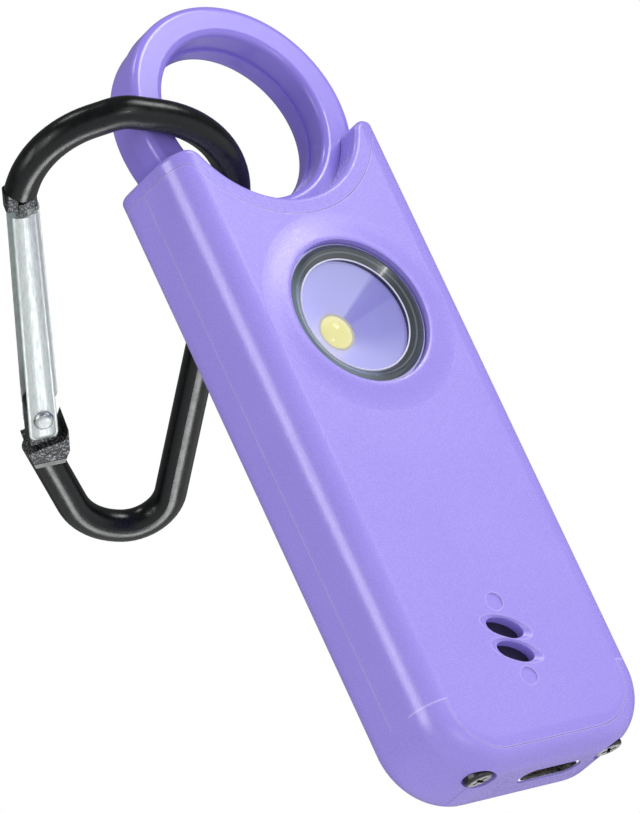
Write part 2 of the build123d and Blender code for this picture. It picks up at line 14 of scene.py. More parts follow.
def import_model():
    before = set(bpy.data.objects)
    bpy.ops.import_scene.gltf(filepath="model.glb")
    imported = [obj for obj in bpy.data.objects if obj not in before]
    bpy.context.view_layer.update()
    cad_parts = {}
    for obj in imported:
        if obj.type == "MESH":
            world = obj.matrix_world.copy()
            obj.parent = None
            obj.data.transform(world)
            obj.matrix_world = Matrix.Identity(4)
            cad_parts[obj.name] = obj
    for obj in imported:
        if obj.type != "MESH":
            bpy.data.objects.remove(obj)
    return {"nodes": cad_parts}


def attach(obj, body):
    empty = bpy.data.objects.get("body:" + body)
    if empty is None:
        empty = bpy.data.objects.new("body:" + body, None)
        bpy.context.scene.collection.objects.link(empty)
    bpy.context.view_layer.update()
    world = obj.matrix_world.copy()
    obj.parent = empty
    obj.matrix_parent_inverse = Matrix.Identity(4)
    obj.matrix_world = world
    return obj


LOG = logging.getLogger("alarm")
MM = 0.001
# The lamp's centre, in mm below the frame's origin in the ring's eye.
LENS_DROP = 28.94
# The spans of a noise that a ramp stretches, the narrowest first.
MIDDLE, BROAD, WIDE = (0.3, 0.7), (0.25, 0.75), (0.2, 0.8)
# Edges flatter than this, in degrees, are smoothed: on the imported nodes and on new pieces.
SMOOTH_NODE, SMOOTH_NEW = 32.0, 30.0
WHITE = (1.0, 1.0, 1.0, 1.0)
Triple = tuple[float, float, float]
Colour = Triple


def srgb(red: int, green: int, blue: int) -> Colour:
    """Turn a screen colour of 0 to 255 into linear values.

    Args:
        red: Red, 0 to 255.
        green: Green, 0 to 255.
        blue: Blue, 0 to 255.

    Returns:
        The linear colour.
    """
    def linear(value: int) -> float:
        """Undo the sRGB curve for one channel."""
        part = value / 255
        return part / 12.92 if part <= 0.04045 else ((part + 0.055) / 1.055) ** 2.4
    return linear(red), linear(green), linear(blue)


class Body(Enum):
    """The moving body that the new pieces ride on."""

    CASE = "case"


class Reach(Enum):
    """The nodes that a lamp reaches; an empty tuple stands for all of them."""

    ALL = ()
    PLATED = ("usb_socket", "bottom_screws")
    WIRE = ("carabiner_frame",)
    GATE = ("carabiner_gate", "gate_rivet", "gate_spring")


class Value:
    """A number in a shader, with Python's operators standing for Math nodes."""

    def __init__(self, shader: "Shader", socket: Any) -> None:
        """Wrap a socket of a shader's tree."""
        self.shader = shader
        self.socket = socket

    def _math(self, operation: str, *values: Any) -> "Value":
        """Add one Math node.

        Args:
            operation: The Math node's operation.
            values: Numbers or Values for its inputs.

        Returns:
            The node's result.
        """
        return self.shader.node("ShaderNodeMath", {"operation": operation}, dict(enumerate(values)))

    def __add__(self, other: Any) -> "Value":
        """Add."""
        return self._math("ADD", self, other)

    def __sub__(self, other: Any) -> "Value":
        """Subtract."""
        return self._math("SUBTRACT", self, other)

    def __rsub__(self, other: Any) -> "Value":
        """Subtract from a number."""
        return self._math("SUBTRACT", other, self)

    def __mul__(self, other: Any) -> "Value":
        """Multiply."""
        return self._math("MULTIPLY", self, other)

    def __truediv__(self, other: Any) -> "Value":
        """Divide."""
        return self._math("DIVIDE", self, other)

    def __abs__(self) -> "Value":
        """Drop the sign."""
        return self._math("ABSOLUTE", self)

    def power(self, exponent: float) -> "Value":
        """Raise to a power."""
        return self._math("POWER", self, exponent)

    def hypot(self, other: "Value") -> "Value":
        """Give the length of the slope over two sides."""
        return (self * self + other * other).power(0.5)

    def lowest(self, other: Any) -> "Value":
        """Take the smaller of two."""
        return self._math("MINIMUM", self, other)

    def highest(self, other: Any) -> "Value":
        """Take the larger of two."""
        return self._math("MAXIMUM", self, other)

    def sine(self) -> "Value":
        """Take the sine."""
        return self._math("SINE", self)

    def ramp(self, low: float, high: float, start: float = 0.0, end: float = 1.0) -> "Value":
        """Map a span smoothly onto another, clamped at both ends.

        Args:
            low: The input where the result is start.
            high: The input where the result is end.
            start: The result at low.
            end: The result at high.

        Returns:
            The mapped value.
        """
        return self.shader.node("ShaderNodeMapRange", {"interpolation_type": "SMOOTHSTEP"},
                                {"Value": self, "From Min": low, "From Max": high,
                                 "To Min": start, "To Max": end})


class Shader:
    """One procedural material and the nodes in it."""

    # Where a Mix node set to colours has its two colours and its result.
    mix_inputs: tuple[int, int] = (6, 7)
    mix_output: int = 2

    def __init__(self, name: str) -> None:
        """Start a material with its Principled shader.

        Args:
            name: The material's name.
        """
        self.material = bpy.data.materials.new(name)
        self.material.use_nodes = True
        self.tree = self.material.node_tree
        self.surface = self.tree.nodes["Principled BSDF"]
        self.output = self.tree.nodes["Material Output"]

    def node(self, kind: str, settings: dict[str, Any], inputs: dict[Any, Any],
             out: Any = 0) -> Value:
        """Add any node, its settings first and then its sockets.

        Args:
            kind: The node's type.
            settings: Attributes of the node.
            inputs: Values or links by socket name or number.
            out: The output that is wanted.

        Returns:
            That output.
        """
        made = self.tree.nodes.new(kind)
        for key, value in settings.items():
            setattr(made, key, value)
        for key, value in inputs.items():
            self.fill(made.inputs[key], value)
        return Value(self, made.outputs[out])

    def fill(self, socket: Any, value: Any) -> None:
        """Link or set one input socket.

        Args:
            socket: The input.
            value: A Value to link, or what to set it to; a colour gets its alpha here.
        """
        if isinstance(value, Value):
            self.tree.links.new(value.socket, socket)
        elif isinstance(value, tuple) and len(value) == 3 and socket.type == "RGBA":
            socket.default_value = (*value, 1.0)
        else:
            socket.default_value = value

    def set(self, **values: Any) -> bpy.types.Material:
        """Fill sockets of the Principled shader.

        Args:
            values: Values by socket name, with underscores for its spaces.

        Returns:
            The material.
        """
        for key, value in values.items():
            self.fill(self.surface.inputs[key.replace("_", " ")], value)
        return self.material

    def place(self) -> Value:
        """Give the Object coordinates."""
        return self.node("ShaderNodeTexCoord", {}, {}, "Object")

    def turned(self, origin: Vector, turn: Matrix) -> Value:
        """Give Object coordinates in a frame of their own.

        Args:
            origin: The frame's origin, in metres.
            turn: The frame's axes as columns.

        Returns:
            The coordinates in that frame.
        """
        angles = turn.transposed().to_euler("XYZ")
        shift = -(turn.transposed() @ origin)
        return self.node("ShaderNodeMapping", {"vector_type": "POINT"},
                         {"Vector": self.place(), "Location": tuple(shift),
                          "Rotation": tuple(angles)})

    def axes(self, place: Value) -> tuple[Value, Value, Value]:
        """Split coordinates.

        Args:
            place: The coordinates.

        Returns:
            Their x, y and z.
        """
        split = self.node("ShaderNodeSeparateXYZ", {}, {"Vector": place})
        x, y, z = (Value(self, output) for output in split.socket.node.outputs)
        return x, y, z

    def noise(self, scale: float, detail: float = 2.0, roughness: float = 0.5,
              place: Value | None = None, stretch: Triple | None = None) -> Value:
        """Give a noise of a certain size.

        Args:
            scale: Cells in a metre.
            detail: Octaves.
            roughness: How strong the fine octaves are.
            place: Coordinates other than the object's own.
            stretch: Factors along the three axes.

        Returns:
            The noise, about 0 to 1.
        """
        where = place or self.place()
        if stretch is not None:
            where = self.node("ShaderNodeMapping", {}, {"Vector": where, "Scale": tuple(stretch)})
        return self.node("ShaderNodeTexNoise", {},
                         {"Vector": where, "Scale": scale, "Detail": detail,
                          "Roughness": roughness})

    def blend(self, share: Any, first: Any, second: Any) -> Value:
        """Mix two colours.

        Args:
            share: The second colour's share.
            first: One colour.
            second: The other.

        Returns:
            The mix.
        """
        made = self.tree.nodes.new("ShaderNodeMix")
        made.data_type = "RGBA"
        self.fill(made.inputs["Factor"], share)
        for slot, value in zip(self.mix_inputs, (first, second)):
            self.fill(made.inputs[slot], value)
        return Value(self, made.outputs[self.mix_output])

    def bump(self, height: Value, distance: float, strength: float = 0.5,
             below: Value | None = None) -> Value:
        """Turn a height into a normal.

        Args:
            height: The height, about 0 to 1.
            distance: What a height of one stands for, in metres.
            strength: The share of it that shows.
            below: A normal to build on.

        Returns:
            The normal.
        """
        inputs: dict[str, Any] = {"Height": height, "Distance": distance,
                                  "Strength": strength}
        if below is not None:
            inputs["Normal"] = below
        return self.node("ShaderNodeBump", {}, inputs)


@dataclass(frozen=True)
class SeamLines:
    """Where the case's seams run, in metres, for the painted highlights drawn along them."""

    part_line: float = 0.0006
    side_wall: tuple[float, float] = (0.0148, 0.0152)
    side_seam: float = -0.0779
    front_corner: tuple[float, float] = (-0.0026, -0.0036)
    flat_face: tuple[float, float] = (0.0048, 0.005)
    tongue_half: float = 0.0133
    tongue_low: float = -0.0853
    tongue_round: float = 0.0063
    tongue_fade: float = 0.0004
    saddle_level: float = -0.0064
    saddle_radius: float = 0.01545
    saddle_round: float = 0.0014
    round_fade: tuple[float, float] = (0.2, 0.4)
    below_eye: tuple[float, float] = (0.0, -0.001)
    half: float = 0.0001
    soft: float = 0.00007

    def line(self, distance: Value) -> Value:
        """Give a thin line where a distance is near zero."""
        return abs(distance).ramp(self.half + self.soft, self.half - self.soft)

    def side(self, x: Value, y: Value) -> Value:
        """Mask the painted highlight along the parting line on the sides."""
        return self.line(y - self.part_line) * abs(x).ramp(*self.side_wall)

    def bottom(self, x: Value, y: Value, z: Value) -> Value:
        """Mask the painted highlight along the end cap's seam: round the tongue on the faces, level
        across the front corners.

        Args:
            x: Metres across the case.
            y: Metres to the rear.
            z: Metres up.

        Returns:
            1 on the seam, 0 away from it.
        """
        beside = abs(x).ramp(self.tongue_half - self.tongue_fade, self.tongue_half)
        corners = self.line(z - self.side_seam) * beside * y.ramp(*self.front_corner)
        across = (abs(x) - (self.tongue_half - self.tongue_round)).highest(0.0)
        down = ((self.tongue_low + self.tongue_round) - z).highest(0.0)
        away = across.hypot(down) - self.tongue_round
        low = z.ramp(self.side_seam + self.soft, self.side_seam - self.soft)
        return corners.highest(self.line(away) * low * abs(y).ramp(*self.flat_face))

    def saddle(self, x: Value, z: Value) -> Value:
        """Mask the painted highlight along the saddle's seam: a circle round the ring, level arms
        and a fillet between them.

        Args:
            x: Metres across the case.
            z: Metres up.

        Returns:
            1 on the seam, 0 away from it.
        """
        reach = self.saddle_radius + self.saddle_round
        drop = self.saddle_level - self.saddle_round
        centre = (reach * reach - drop * drop) ** 0.5
        touch = centre * self.saddle_radius / reach
        out = abs(x)
        level = self.line(z - self.saddle_level)
        level = level * out.ramp(centre - self.soft, centre + self.soft)
        bowl = self.line(x.hypot(z) - self.saddle_radius)
        bowl = bowl * out.ramp(touch + self.soft, touch - self.soft)
        bend = self.line((out - centre).hypot(z - drop) - self.saddle_round)
        bend = bend * out.ramp(centre + self.soft, centre) * out.ramp(touch - self.soft, touch)
        start, end = (drop + self.saddle_round * share for share in self.round_fade)
        bend = bend * z.ramp(start, end)
        return level.highest(bowl).highest(bend) * z.ramp(*self.below_eye)


@dataclass(frozen=True)
class MouldedCase:
    """Lilac ABS with a fine spark-eroded grain and painted highlights along its seams, sound holes
    and blind discs.
    """

    name: str = "case_lilac"
    colour: Colour = srgb(161, 146, 237)
    shade: Colour = srgb(156, 140, 233)
    # Pale colour of the painted highlights along the seams, the sound holes and the blind discs.
    edge: Colour = srgb(208, 200, 252)
    roughness: tuple[float, float] = (0.16, 0.38)
    grain_scale: float = 5600.0
    grain_depth: float = 0.000045
    cloud_scale: float = 60.0
    cloud_share: float = 0.5
    highlight_share: float = 0.6
    hole_highlight_share: float = 0.8
    parted: bool = True
    seams: SeamLines = field(default_factory=SeamLines)
    front_face: tuple[float, float] = (-0.0062, -0.0064)
    middle_x: float = -0.00015
    disc_levels: tuple[float, float] = (-0.06774, -0.07749)
    disc_radius: float = 0.00117
    oval_z: float = -0.07262
    oval_pitch: float = 0.0031
    oval_slant: float = math.radians(-24.8)
    oval_mouth: tuple[float, float] = (0.00362, 0.0014)
    oval_hole: tuple[float, float] = (0.0026, 0.001235)
    # Painted highlight strength on the lower and the upper side of each oval's edges; the lower
    # sides catch more light.
    mouth_highlight: tuple[float, float] = (0.75, 0.45)
    hole_highlight: tuple[float, float] = (1.0, 0.0)
    oval_fade: float = 0.2

    def ovals(self, x: Value, z: Value) -> Value:
        """Mask the painted highlights on the edges of the two sound holes, stronger along their
        lower sides.

        Args:
            x: Metres across the case.
            z: Metres up.

        Returns:
            Up to 1 on the edges, 0 away from them.
        """
        painted_highlights = x * 0.0
        cosine, sine = math.cos(self.oval_slant), math.sin(self.oval_slant)
        rims = ((self.oval_mouth, self.mouth_highlight), (self.oval_hole, self.hole_highlight))
        for side in (-0.5, 0.5):
            across = x - self.middle_x
            rise = z - (self.oval_z + side * self.oval_pitch)
            along = across * cosine + rise * sine
            over = rise * cosine - across * sine
            for (length, height), (low, high) in rims:
                share = (along / length).hypot(over / height)
                slope = (along / length ** 2).hypot(over / height ** 2)
                fade = height * self.oval_fade
                edge = self.seams.line(share * (share - 1.0) / slope)
                painted_highlights = painted_highlights.highest(edge * over.ramp(fade, -fade, high, low))
        return painted_highlights

    def blind(self, x: Value, z: Value, level: float) -> Value:
        """Mask the painted highlight on the edge of the blind disc at a level."""
        away = (x - self.middle_x).hypot(z - level)
        return self.seams.line(away - self.disc_radius)

    def make(self) -> bpy.types.Material:
        """Build the material with its grain and painted edge highlights.

        Returns:
            The material.
        """
        shader = Shader(self.name)
        x, y, z = shader.axes(shader.place())
        grain = shader.noise(self.grain_scale, roughness=0.65)
        cloud = shader.noise(self.cloud_scale)
        # Painted highlights: thin pale lines along the seams stand in for light caught by their
        # edges. On the front, lines round the sound holes and blind discs do the same.
        painted_highlights = self.seams.bottom(x, y, z)
        if self.parted:
            upper, lower = (self.blind(x, z, level) for level in self.disc_levels)
            painted_highlights = painted_highlights.highest(self.seams.side(x, y)).highest(self.seams.saddle(x, z))
            holes = upper.highest(lower).highest(self.ovals(x, z))
            painted_highlights = painted_highlights.highest(holes * y.ramp(*self.front_face) * self.hole_highlight_share)
        base = shader.blend(cloud.ramp(*MIDDLE) * self.cloud_share, self.colour, self.shade)
        return shader.set(Base_Color=shader.blend(painted_highlights * self.highlight_share, base, self.edge),
                          Roughness=grain.ramp(*BROAD, *self.roughness),
                          Normal=shader.bump(grain, self.grain_depth, strength=0.6))


@dataclass(frozen=True)
class SaddlePlastic:
    """The saddle's lilac: a lighter grain than the case's, with a painted highlight along its seam.
    """

    name: str = "saddle_lilac"
    colour: Colour = srgb(157, 142, 234)
    # Pale colour of the painted highlight along the seam.
    edge: Colour = srgb(208, 200, 252)
    roughness: tuple[float, float] = (0.21, 0.33)
    grain_scale: float = 4200.0
    grain_depth: float = 0.00002
    highlight_share: float = 0.35
    seams: SeamLines = field(default_factory=SeamLines)

    def make(self) -> bpy.types.Material:
        """Build the material.

        Returns:
            The material.
        """
        shader = Shader(self.name)
        x, _, z = shader.axes(shader.place())
        grain = shader.noise(self.grain_scale, roughness=0.6)
        # Painted highlight: a thin pale line along the saddle's seam.
        painted_highlights = self.seams.saddle(x, z) * self.highlight_share
        return shader.set(Base_Color=shader.blend(painted_highlights, self.colour, self.edge),
                          Roughness=grain.ramp(*BROAD, *self.roughness),
                          Normal=shader.bump(grain, self.grain_depth))


@dataclass(frozen=True)
class SmoothPlastic:
    """Plain moulded plastic: smooth, with the slight waviness of a moulding."""

    name: str
    colour: Colour
    roughness: float = 0.3
    # Painted light: emission that keeps a part glowing though it is not a lit lamp.
    painted_glow: float = 0.0
    smoother: float = 0.03
    rougher: float = 0.04
    darker: float = 0.95
    wave_scale: float = 260.0
    wave_depth: float = 0.00002
    wave_share: float = 0.5
    fine_scale: float = 5200.0
    fine_share: float = 0.1

    def make(self) -> bpy.types.Material:
        """Build the material, which glows a little as painted light where it is asked to.

        Returns:
            The material.
        """
        shader = Shader(self.name)
        wave = shader.noise(self.wave_scale)
        fine = shader.noise(self.fine_scale, detail=1.0)
        shade = tuple(part * self.darker for part in self.colour)
        rough = (self.roughness - self.smoother, self.roughness + self.rougher)
        # Painted light: the part glows though it is not a lit lamp.
        if self.painted_glow:
            shader.set(Emission_Color=self.colour, Emission_Strength=self.painted_glow)
        share = wave.ramp(*MIDDLE) * self.wave_share
        return shader.set(Base_Color=shader.blend(share, self.colour, shade),
                          Roughness=fine.ramp(*WIDE, *rough),
                          Normal=shader.bump(wave + fine * self.fine_share, self.wave_depth))


@dataclass(frozen=True)
class Metal:
    """Bare or plated metal, with drawn streaks or a fine blasted grain."""

    name: str
    colour: Colour
    roughness: float = 0.3
    streak: Triple = (1.0, 1.0, 1.0)
    smoother: float = 0.07
    rougher: float = 0.1
    darker: float = 0.88
    grain_scale: float = 1800.0
    grain_depth: float = 0.00001

    def make(self) -> bpy.types.Material:
        """Build the material.

        Returns:
            The material.
        """
        shader = Shader(self.name)
        grain = shader.noise(self.grain_scale, detail=3.0, roughness=0.6, stretch=self.streak)
        shade = tuple(part * self.darker for part in self.colour)
        rough = (self.roughness - self.smoother, self.roughness + self.rougher)
        return shader.set(Base_Color=shader.blend(grain.ramp(*MIDDLE), self.colour, shade),
                          Metallic=1.0, Roughness=grain.ramp(*BROAD, *rough),
                          Normal=shader.bump(grain, self.grain_depth))


@dataclass(frozen=True)
class ClipFrame:
    """The clip's own frame: the loop's corner in mm, its axes and the gate's place on it."""

    corner: Triple = (-16.62225, -5.5, 1.42325)
    across: Triple = (0.9189, -0.3110, -0.2426)
    normal: Triple = (-0.3481, -0.3500, -0.8697)
    rivet: Triple = (-7.1, -44.76, 0.0)
    lean_degrees: float = 10.6

    def plane(self) -> Matrix:
        """Give the loop's axes.

        Returns:
            Columns across the loop, along its spine and out of its plane.
        """
        across = Vector(self.across).normalized()
        normal = Vector(self.normal)
        normal = (normal - across * normal.dot(across)).normalized()
        return Matrix((across, normal.cross(across), normal)).transposed()

    def gate(self) -> tuple[Vector, Matrix]:
        """Give the gate's frame: y runs along the gate, z across the sheet.

        Returns:
            The rivet's place in metres and the axes as columns.
        """
        axes = self.plane()
        origin = (Vector(self.corner) + axes @ Vector(self.rivet)) * MM
        return origin, axes @ Matrix.Rotation(math.radians(self.lean_degrees), 3, "Z")


@dataclass(frozen=True)
class BlackWire:
    """Black anodised wire, worn and rough at the pressed collar and nose."""

    name: str = "wire_black"
    colour: Colour = (0.0020, 0.0030, 0.0034)
    worn: Colour = (0.16, 0.17, 0.18)
    roughness: tuple[float, float] = (0.24, 0.32)
    pressed_roughness: float = 0.2
    collar: tuple[float, float] = (-0.0068, -0.0012)
    collar_entry: float = 0.0002
    nose: tuple[float, float] = (0.0320, 0.0344)
    nose_entry: float = 0.0001
    nose_share: float = 0.8
    leave: float = 0.0002
    reach: tuple[float, float] = (0.005, 0.0045)
    pit_scale: float = 3600.0
    pit_depth: float = 0.00012
    fleck_span: tuple[float, float] = (0.52, 0.6)
    fleck_metal: float = 0.6
    fine_scale: float = 900.0
    fine_depth: float = 0.000006
    clip: ClipFrame = field(default_factory=ClipFrame)

    def band(self, along: Value, span: tuple[float, float], entry: float) -> Value:
        """Give 1 between two places along the gate, fading outside them."""
        low, high = span
        return along.ramp(low - entry, low) * along.ramp(high + self.leave, high)

    def make(self) -> bpy.types.Material:
        """Build the material, with the pressed ends picked out in the gate's own frame.

        Returns:
            The material.
        """
        shader = Shader(self.name)
        x, y, _ = shader.axes(shader.turned(*self.clip.gate()))
        near = abs(x).ramp(*self.reach)
        collar = self.band(y, self.collar, self.collar_entry)
        nose = self.band(y, self.nose, self.nose_entry)
        pressed = (collar + nose * self.nose_share).lowest(1.0) * near
        pits = shader.noise(self.pit_scale, roughness=0.7)
        fleck = pits.ramp(*self.fleck_span) * pressed
        fine = shader.noise(self.fine_scale)
        even = shader.bump(fine, self.fine_depth)
        return shader.set(Base_Color=shader.blend(fleck, self.colour, self.worn),
                          Metallic=fleck * self.fleck_metal, Specular_IOR_Level=0.34,
                          Roughness=(fine.ramp(*MIDDLE, *self.roughness)
                                     + pressed * self.pressed_roughness),
                          Normal=shader.bump(pits * pressed, self.pit_depth, 0.9, below=even))


@dataclass(frozen=True)
class GateSheet:
    """Folded aluminium: brushed lengthwise, its walls crowned slightly across."""

    name: str = "gate_aluminium"
    colour: Colour = (0.80, 0.86, 0.85)
    shade: Colour = (0.62, 0.68, 0.67)
    roughness: tuple[float, float] = (0.28, 0.44)
    crown: float = 80.0
    wall: tuple[float, float] = (0.0018, 0.0020)
    brush_scale: float = 5200.0
    brush_stretch: Triple = (1.0, 0.12, 1.0)
    brush_span: tuple[float, float] = (0.35, 0.7)
    brush_depth: float = 0.000012
    clip: ClipFrame = field(default_factory=ClipFrame)

    def make(self) -> bpy.types.Material:
        """Build the material in the gate's own frame.

        Returns:
            The material.
        """
        shader = Shader(self.name)
        place = shader.turned(*self.clip.gate())
        x, _, z = shader.axes(place)
        brush = shader.noise(self.brush_scale, detail=3.0, roughness=0.7, place=place,
                             stretch=self.brush_stretch)
        height = x * x * -self.crown * abs(z).ramp(*self.wall)
        crowned = shader.bump(height, 1.0, strength=1.0)
        tone = shader.blend(brush.ramp(*self.brush_span), self.colour, self.shade)
        return shader.set(Base_Color=tone, Metallic=0.85,
                          Roughness=brush.ramp(*BROAD, *self.roughness),
                          Normal=shader.bump(brush, self.brush_depth, 0.8, below=crowned))


@dataclass(frozen=True)
class ClearWindow:
    """Thin clear plastic: nearly all see-through, with a reflection that grows at a slant."""

    name: str = "window_clear"
    tint: Colour = (0.96, 0.97, 1.0)
    roughness: float = 0.04
    slant: float = 0.35
    growth: float = 0.3
    least: float = 0.02
    most: float = 0.6

    def make(self) -> bpy.types.Material:
        """Build the mix of see-through and gloss.

        Returns:
            The material.
        """
        shader = Shader(self.name)
        shader.set(Base_Color=(0.0, 0.0, 0.0), Roughness=self.roughness, Specular_IOR_Level=0.9)
        clear = shader.node("ShaderNodeBsdfTransparent", {}, {"Color": self.tint})
        weight = shader.node("ShaderNodeLayerWeight", {}, {"Blend": self.slant}, "Fresnel")
        share = (weight * self.growth + self.least).lowest(self.most)
        gloss = Value(shader, shader.surface.outputs[0])
        mix = shader.node("ShaderNodeMixShader", {}, {0: share, 1: clear, 2: gloss})
        shader.tree.links.new(mix.socket, shader.output.inputs["Surface"])
        return shader.material


@dataclass(frozen=True)
class SmokedRim:
    """Clear rim with smoky walls, painted highlights on its edges and painted light on the lamp's
    left side.
    """

    name: str = "rim_smoked"
    dark: Colour = srgb(66, 74, 78)
    # Colour of the painted light on the lamp's left side; the edge colour below is that of the
    # painted highlights.
    light: Colour = srgb(122, 140, 142)
    edge: Colour = srgb(214, 216, 232)
    roughness: tuple[float, float] = (0.16, 0.24)
    outer: float = 0.00912
    outer_soft: float = 0.00006
    mid: float = 0.00815
    mid_soft: tuple[float, float] = (0.00012, 0.00004)
    mid_share: float = 0.15
    lit_side: tuple[float, float] = (-1.0, -0.3)
    lit_span: tuple[float, float] = (0.002, 0.0085)
    wave_scale: float = 700.0
    wave_depth: float = 0.00001

    def make(self) -> bpy.types.Material:
        """Build the material: painted highlights on the outer edge and in a faint mid line, and
        painted light that makes it paler on the lamp's left.

        Returns:
            The material.
        """
        shader = Shader(self.name)
        x, _, z = shader.axes(shader.place())
        rise = z + LENS_DROP * MM
        away = x.hypot(rise)
        # Painted highlights: the bright outer edge and the faint mid line; painted light: the paler
        # side to the lamp's left.
        edge = away.ramp(self.outer - self.outer_soft, self.outer + self.outer_soft)
        mid = abs(away - self.mid).ramp(*self.mid_soft) * self.mid_share
        left, down = self.lit_side
        pale = (x * left + rise * down).ramp(*self.lit_span)
        body = shader.blend(pale, self.dark, self.light)
        wave = shader.noise(self.wave_scale)
        return shader.set(Base_Color=shader.blend(edge.highest(mid), body, self.edge),
                          Roughness=wave.ramp(*MIDDLE, *self.roughness),
                          Normal=shader.bump(wave, self.wave_depth, strength=0.4),
                          Coat_Weight=0.5, Coat_Roughness=0.05)


@dataclass(frozen=True)
class Reflector:
    """Moulded funnel round the lamp: pale lilac satin, with painted shade on the facets to the
    lamp's right and painted light of its own.

    The shaded facets are spans of the angle about the lamp's centre, in radians; their shade is
    painted.
    """

    name: str = "reflector_lilac"
    colour: Colour = srgb(200, 198, 247)
    shade: Colour = srgb(158, 153, 222)
    roughness: tuple[float, float] = (0.3, 0.38)
    # Painted light: emission that brightens the funnel in place of light reaching into the cup.
    painted_glow: float = 0.62
    wedge_top: tuple[float, float] = (0.74, 0.64)
    wedge_foot: tuple[float, float] = (-1.3, -0.2)
    facet_shade: tuple[float, float] = (0.26, 0.20)
    facet_shade_share: float = 0.3
    crease_shade: float = 0.72
    crease_soft: tuple[float, float] = (0.03, 0.01)
    crease_share: float = 0.35
    wave_scale: float = 300.0
    wave_depth: float = 0.00003
    wave_share: float = 0.12

    def make(self) -> bpy.types.Material:
        """Build the material with painted shade on facets that fan out from the lamp, and painted
        emission.

        Returns:
            The material.
        """
        shader = Shader(self.name)
        x, _, z = shader.axes(shader.place())
        angle = shader.node("ShaderNodeMath", {"operation": "ARCTAN2"},
                            {0: z + LENS_DROP * MM, 1: x})
        # Painted shade: the span to the lamp's right, its facets and one dark fan line are drawn
        # darker, as the shaded side of the funnel.
        wedge_shade = angle.ramp(*self.wedge_top) * angle.ramp(*self.wedge_foot)
        facet_shade = angle.ramp(*self.facet_shade) * self.facet_shade_share
        crease_shade = abs(angle - self.crease_shade).ramp(*self.crease_soft) * self.crease_share
        wave = shader.noise(self.wave_scale)
        share = (wedge_shade * (1.0 - facet_shade) + crease_shade + wave * self.wave_share).lowest(1.0)
        tone = shader.blend(share, self.colour, self.shade)
        return shader.set(Base_Color=tone, Emission_Color=tone, Emission_Strength=self.painted_glow,
                          Roughness=wave.ramp(*MIDDLE, *self.roughness),
                          Normal=shader.bump(wave, self.wave_depth, strength=0.4))


@dataclass(frozen=True)
class BoardMask:
    """Green solder mask over copper tracks."""

    name: str = "board_green"
    colour: Colour = (0.012, 0.09, 0.035)
    track: Colour = (0.03, 0.17, 0.06)
    turns: tuple[float, float] = (3100.0, 2700.0)
    upright: tuple[float, float] = (0.72, 0.8)
    level: tuple[float, float] = (0.82, 0.9)
    track_depth: float = 0.00003

    def make(self) -> bpy.types.Material:
        """Build the material with a grid of tracks.

        Returns:
            The material.
        """
        shader = Shader(self.name)
        x, _, z = shader.axes(shader.place())
        upright = (x * self.turns[0]).sine().ramp(*self.upright)
        tracks = upright.highest((z * self.turns[1]).sine().ramp(*self.level))
        return shader.set(Base_Color=shader.blend(tracks, self.colour, self.track),
                          Roughness=0.38, Coat_Weight=0.3,
                          Normal=shader.bump(tracks, self.track_depth, strength=0.6))


@dataclass(frozen=True)
class WovenMesh:
    """Fine black cloth over the siren's chamber."""

    name: str = "mesh_black"
    colour: Colour = (0.010, 0.006, 0.028)
    thread: Colour = (0.032, 0.020, 0.075)
    pitch: float = 0.00022
    thread_span: tuple[float, float] = (-0.6, 0.6)
    thread_depth: float = 0.00004

    def make(self) -> bpy.types.Material:
        """Build the weave.

        Returns:
            The material.
        """
        shader = Shader(self.name)
        x, _, z = shader.axes(shader.place())
        turns = math.tau / self.pitch
        weave = (x * turns).sine() * (z * turns).sine()
        tone = shader.blend(weave.ramp(*self.thread_span), self.colour, self.thread)
        return shader.set(Base_Color=tone, Roughness=0.85,
                          Normal=shader.bump(weave, self.thread_depth, strength=0.8))


@dataclass(frozen=True)
class StudioFloor:
    """Pale floor that keeps the shadow."""

    name: str = "floor_white"
    colour: Colour = (0.86, 0.86, 0.87)

    def make(self) -> bpy.types.Material:
        """Build the floor's material."""
        return Shader(self.name).set(Base_Color=self.colour, Roughness=0.8)


class Bench:
    """The few modelling steps that several new pieces share."""

    @staticmethod
    def clear() -> None:
        """Leave edit mode and deselect everything."""
        if bpy.context.object and bpy.context.object.mode != "OBJECT":
            bpy.ops.object.mode_set(mode="OBJECT")
        bpy.ops.object.select_all(action="DESELECT")

    @staticmethod
    def only(piece: bpy.types.Object) -> None:
        """Select one piece and make it active.

        Args:
            piece: The piece.
        """
        Bench.clear()
        piece.select_set(True)
        bpy.context.view_layer.objects.active = piece

    @staticmethod
    def settle(piece: bpy.types.Object, name: str,
               material: bpy.types.Material) -> bpy.types.Object:
        """Apply modifiers and place, name the piece and give it its finish.

        Args:
            piece: The piece.
            name: Its name.
            material: Its finish.

        Returns:
            The piece.
        """
        Bench.only(piece)
        for modifier in list(piece.modifiers):
            bpy.ops.object.modifier_apply(modifier=modifier.name)
        bpy.ops.object.transform_apply(location=True, rotation=True, scale=True)
        bpy.ops.object.mode_set(mode="EDIT")
        bpy.ops.mesh.select_all(action="SELECT")
        bpy.ops.mesh.remove_doubles(threshold=1e-7)
        bpy.ops.mesh.normals_make_consistent(inside=False)
        bpy.ops.object.mode_set(mode="OBJECT")
        bpy.ops.object.shade_smooth_by_angle(angle=math.radians(SMOOTH_NEW))
        piece.name = name
        piece.data.name = name
        piece.data.materials.clear()
        piece.data.materials.append(material)
        Bench.clear()
        return piece

    @staticmethod
    def bevel(piece: bpy.types.Object, width: float, segments: int = 3) -> None:
        """Add a live bevel that settle applies.

        Args:
            piece: The piece.
            width: The bevel's width, in metres.
            segments: Faces across it.
        """
        modifier = piece.modifiers.new("bevel", "BEVEL")
        modifier.width = width
        modifier.segments = segments
        modifier.limit_method = "ANGLE"


